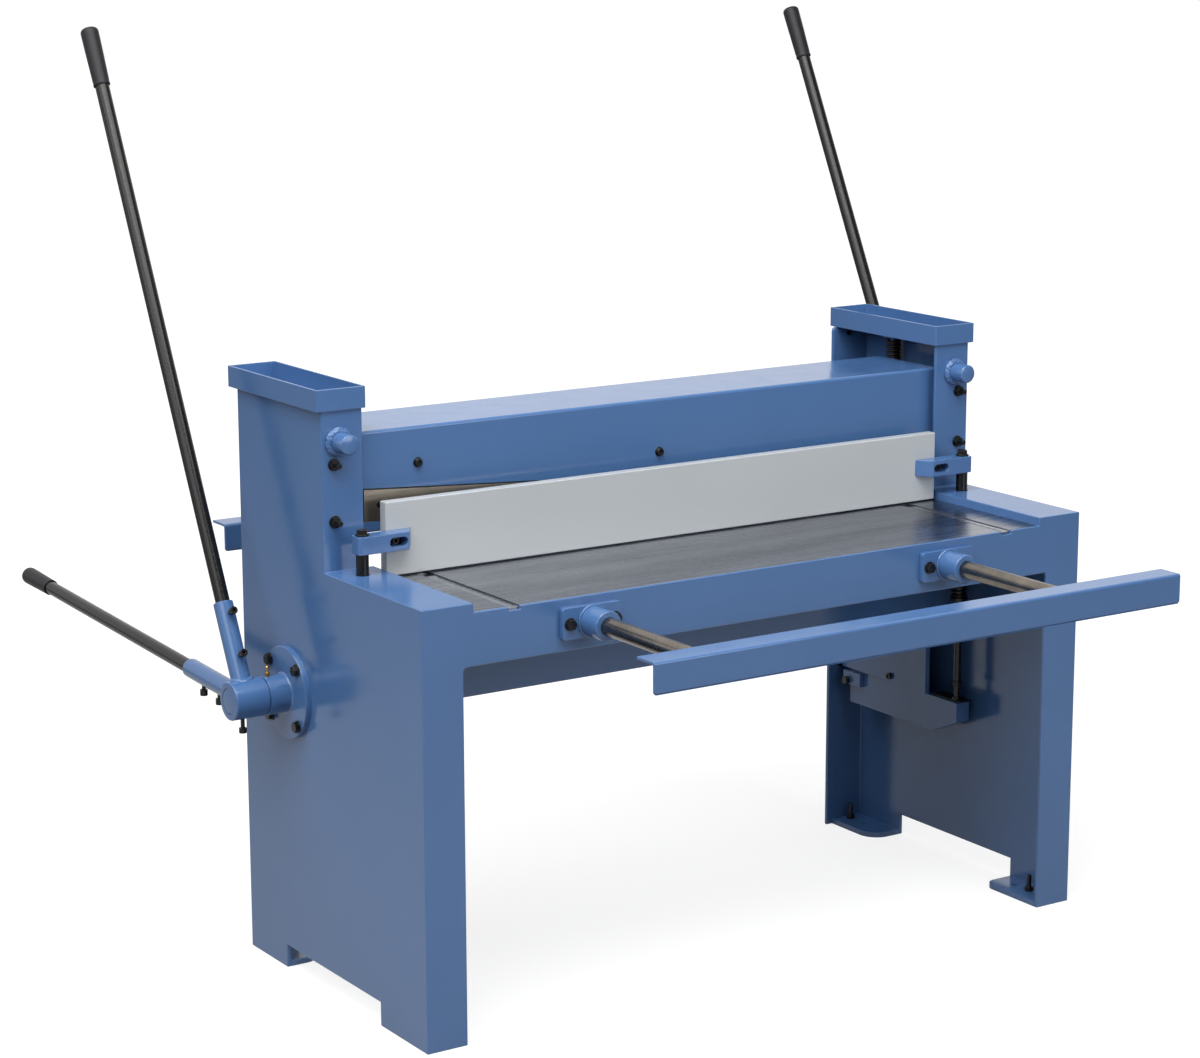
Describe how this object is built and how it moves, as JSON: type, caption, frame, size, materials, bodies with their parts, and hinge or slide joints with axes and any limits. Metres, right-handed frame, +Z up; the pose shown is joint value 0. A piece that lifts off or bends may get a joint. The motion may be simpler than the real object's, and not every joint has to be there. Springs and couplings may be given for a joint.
{
  "type": "sheet metal shear",
  "caption": "Hand-operated sheet metal guillotine shear with a raked top blade, sprung hold-down, levers on both sides, a front support bar and a rear gauge bar.",
  "frame": {"origin": "on the floor, in the middle of the four anchor holes of the feet", "axes": "+X along the blades to the operator's right, +Y from the operator to the back, +Z up"},
  "size_m": [1.7986, 2.0225, 1.8039],
  "materials": {
    "blue_enamel": "semi-gloss",
    "grey_enamel": "semi-gloss",
    "ground_steel": "ground",
    "blade_steel": "ground",
    "polished_steel": "polished",
    "black_oxide": "black oxide",
    "black_rubber": "matte",
    "brass": "turned",
    "spring_steel": "oiled"
  },
  "bodies": {
    "frame": {"side_plates": "blue_enamel", "front_legs": "blue_enamel", "apron": "blue_enamel", "shoulders": "blue_enamel", "tower_fronts": "blue_enamel", "rear_columns": "blue_enamel", "foot_plates": "blue_enamel", "levelling_screws": "black_oxide", "table_plate": "ground_steel", "scale_strips": "blade_steel", "table_web": "blue_enamel", "lower_blade": "blade_steel", "lower_blade_screws": "black_oxide", "tower_trays": "blue_enamel", "tower_stubs": "blue_enamel", "bearings": "blue_enamel", "bearing_screws": "black_oxide", "grease_nipples": "brass", "front_guides": "ground_steel", "rear_guides": "ground_steel", "guide_screws": "black_oxide", "post_bushes": "ground_steel", "rod_sockets": "blue_enamel", "socket_screws": "black_oxide", "rear_tie": "blue_enamel", "tie_screws": "black_oxide", "rear_brackets": "blue_enamel", "spring_hangers": "blue_enamel", "return_springs": "spring_steel", "hold_springs": "black_oxide"},
    "blade_carriage": {"beam_top": "blue_enamel", "beam_front": "blue_enamel", "beam_back": "blue_enamel", "beam_ribs": "blue_enamel", "blade_holder": "blue_enamel", "upper_blade": "blade_steel", "upper_blade_screws": "black_oxide", "face_screws": "black_oxide", "cheeks": "blue_enamel", "slide_shoes": "ground_steel", "lift_arms": "blue_enamel", "arm_pads": "black_rubber", "arm_blocks": "blue_enamel", "carriage_screws": "black_oxide", "spring_seats": "blue_enamel"},
    "hold_down": {"hold_down_bar": "grey_enamel", "hold_down_arms": "blue_enamel", "hold_down_posts": "black_oxide", "hold_down_screws": "black_oxide"},
    "lever_shaft": {"cross_shaft": "ground_steel", "lever_hubs": "blue_enamel", "front_levers": "black_oxide", "rear_levers": "black_oxide", "lever_grips": "black_rubber", "clamp_screws": "black_oxide", "cranks": "ground_steel"},
    "front_support": {"front_bar": "blue_enamel", "front_rods": "polished_steel"},
    "rear_gauge": {"rear_bar": "blue_enamel", "rear_rods": "polished_steel"}
  },
  "joints": [
    {"name": "blade_slide", "type": "slide", "parent": "frame", "child": "blade_carriage", "axis": [0, 0, 1], "range_m": [-0.10397, 0], "stiffness_N_per_m": 6000, "springref_m": 0.35, "deforming": ["return_springs"]},
    {"name": "lever_turn", "type": "hinge", "parent": "frame", "child": "lever_shaft", "pos_m": [0, 0.142, 0.567], "axis": [1, 0, 0], "range_deg": [0, 70]},
    {"name": "hold_down_slide", "type": "slide", "parent": "frame", "child": "hold_down", "axis": [0, 0, 1], "range_m": [-0.0022, 0], "deforming": ["hold_springs"]},
    {"name": "front_support_slide", "type": "slide", "parent": "frame", "child": "front_support", "axis": [0, 1, 0], "range_m": [-0.02, 0.3]},
    {"name": "rear_gauge_slide", "type": "slide", "parent": "frame", "child": "rear_gauge", "axis": [0, 1, 0], "range_m": [-0.118, 0.07]}
  ],
  "couplings": [
    {"joint": "lever_turn", "follows": "blade_slide", "rad_per_m": -11.745},
    {"joint": "hold_down_slide", "follows": "blade_slide", "ratio": 0.021149}
  ]
}
